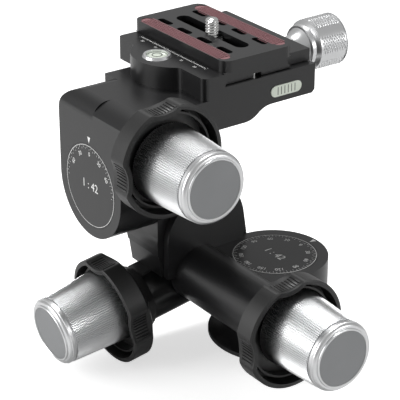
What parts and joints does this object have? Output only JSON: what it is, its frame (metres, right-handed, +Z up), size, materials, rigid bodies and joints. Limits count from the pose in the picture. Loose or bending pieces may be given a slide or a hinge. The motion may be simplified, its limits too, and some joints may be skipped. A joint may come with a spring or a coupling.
{
  "type": "geared tripod head",
  "caption": "Three-way geared tripod head with worm-driven pan, tilt and level stages, release collars and a dovetail plate clamp.",
  "frame": {"origin": "centre of the tripod thread at the underside of the foot, on the pan axis", "axes": "+Z up along the pan axis, +X towards the pan and level knobs, -Y towards the level dial and the tilt knob"},
  "size_m": [0.1592, 0.1588, 0.1498],
  "materials": {
    "black_anodised": "satin black anodised",
    "matte_black": "matte black coated",
    "silver_aluminium": "fine turned",
    "face_grey": "satin",
    "steel": "machined",
    "bronze": "turned",
    "washer_plastic": "smooth",
    "plate_rubber": "fine chequered",
    "level_glass": "clear"
  },
  "bodies": {
    "foot": {"base_foot": "black_anodised", "tripod_bush": "steel", "pan_spindle": "steel", "pan_wheel": "bronze", "pan_dial": "black_anodised", "pan_thrust_washer": "washer_plastic"},
    "pan_body": {"pan_housing": "black_anodised", "pan_drum_bush": "bronze", "tilt_spindle": "steel", "tilt_wheel": "bronze", "tilt_dial": "black_anodised", "tilt_thrust_washer": "washer_plastic"},
    "tilt_body": {"tilt_housing": "black_anodised", "tilt_drum_bush": "bronze", "level_spindle": "steel", "level_wheel": "bronze", "level_dial": "black_anodised", "level_thrust_washer": "washer_plastic"},
    "level_body": {"level_housing": "black_anodised", "clamp_base": "black_anodised", "jaw_guide_pins": "steel", "stop_pin": "steel", "round_level_ring": "silver_aluminium", "round_level_glass": "level_glass", "tube_level": "level_glass", "level_drum_bush": "bronze"},
    "jaw": {"moving_jaw": "black_anodised"},
    "clamp_turn": {"clamp_knob": "silver_aluminium", "clamp_screw": "steel"},
    "plate_body": {"plate": "black_anodised", "plate_rubber_strips": "plate_rubber"},
    "camera_screw_body": {"camera_screw": "steel"},
    "pan_release": {"pan_eccentric_sleeve": "steel", "pan_release_collar": "matte_black", "pan_return_spring": "steel", "pan_worm_bushes": "bronze"},
    "pan_drive": {"pan_worm": "steel", "pan_knob": "silver_aluminium", "pan_knob_face": "face_grey", "pan_knob_screw": "steel"},
    "tilt_release": {"tilt_eccentric_sleeve": "steel", "tilt_release_collar": "matte_black", "tilt_return_spring": "steel", "tilt_worm_bushes": "bronze"},
    "tilt_drive": {"tilt_worm": "steel", "tilt_knob": "silver_aluminium", "tilt_knob_face": "face_grey", "tilt_knob_screw": "steel"},
    "level_release": {"level_eccentric_sleeve": "steel", "level_release_collar": "matte_black", "level_return_spring": "steel", "level_worm_bushes": "bronze"},
    "level_drive": {"level_worm": "steel", "level_knob": "silver_aluminium", "level_knob_face": "face_grey", "level_knob_screw": "steel"}
  },
  "joints": [
    {"name": "pan_turn", "type": "hinge", "parent": "foot", "child": "pan_body", "pos_m": [0, 0, 0.0394], "axis": [0, 0, 1], "continuous": true},
    {"name": "pan_release_turn", "type": "hinge", "parent": "pan_body", "child": "pan_release", "pos_m": [0.04, -0.02638, 0.0291], "axis": [1, 0, 0], "range_deg": [0, 50], "stiffness_Nm_per_rad": 0.35, "springref_deg": -14.32},
    {"name": "pan_knob_turn", "type": "hinge", "parent": "pan_release", "child": "pan_drive", "pos_m": [0.04, -0.0242, 0.03011], "axis": [1, 0, 0], "continuous": true},
    {"name": "tilt_turn", "type": "hinge", "parent": "pan_body", "child": "tilt_body", "pos_m": [-0.0493, -0.0224, 0.047], "axis": [-1, 0, 0], "range_deg": [-30, 90]},
    {"name": "tilt_release_turn", "type": "hinge", "parent": "tilt_body", "child": "tilt_release", "pos_m": [-0.039, -0.05795, 0.01488], "axis": [0, -0.9885, -0.1513], "range_deg": [0, 50], "stiffness_Nm_per_rad": 0.35, "springref_deg": -14.32},
    {"name": "tilt_knob_turn", "type": "hinge", "parent": "tilt_release", "child": "tilt_drive", "pos_m": [-0.04001, -0.05828, 0.01703], "axis": [0, -0.9885, -0.1513], "range_deg": [-1270, 3790]},
    {"name": "level_turn", "type": "hinge", "parent": "tilt_body", "child": "level_body", "pos_m": [-0.0416, -0.0707, 0.0767], "axis": [0, -1, 0], "range_deg": [-30, 90]},
    {"name": "level_release_turn", "type": "hinge", "parent": "level_body", "child": "level_release", "pos_m": [-0.0016, -0.0604, 0.10308], "axis": [1, 0, 0], "range_deg": [0, 50], "stiffness_Nm_per_rad": 0.35, "springref_deg": -14.32},
    {"name": "level_knob_turn", "type": "hinge", "parent": "level_release", "child": "level_drive", "pos_m": [-0.0016, -0.05939, 0.1009], "axis": [1, 0, 0], "range_deg": [-3790, 1270]},
    {"name": "jaw_slide", "type": "slide", "parent": "level_body", "child": "jaw", "axis": [0, 1, 0], "range_m": [0, 0.003]},
    {"name": "clamp_knob_turn", "type": "hinge", "parent": "jaw", "child": "clamp_turn", "pos_m": [-0.037, 0.03, 0.1184], "axis": [0, 1, 0], "range_deg": [0, 870]},
    {"name": "plate_slide", "type": "slide", "parent": "level_body", "child": "plate_body", "axis": [1, 0, 0], "range_m": [-0.009, 0.009]},
    {"name": "camera_screw_turn", "type": "hinge", "parent": "plate_body", "child": "camera_screw_body", "pos_m": [-0.047, -0.001, 0.13], "axis": [0, 0, 1], "continuous": true}
  ],
  "couplings": [
    {"joint": "pan_knob_turn", "follows": "pan_turn", "ratio": 42},
    {"joint": "tilt_knob_turn", "follows": "tilt_turn", "ratio": 42},
    {"joint": "level_knob_turn", "follows": "level_turn", "ratio": -42},
    {"joint": "clamp_knob_turn", "follows": "jaw_slide", "rad_per_m": 5026.5}
  ]
}
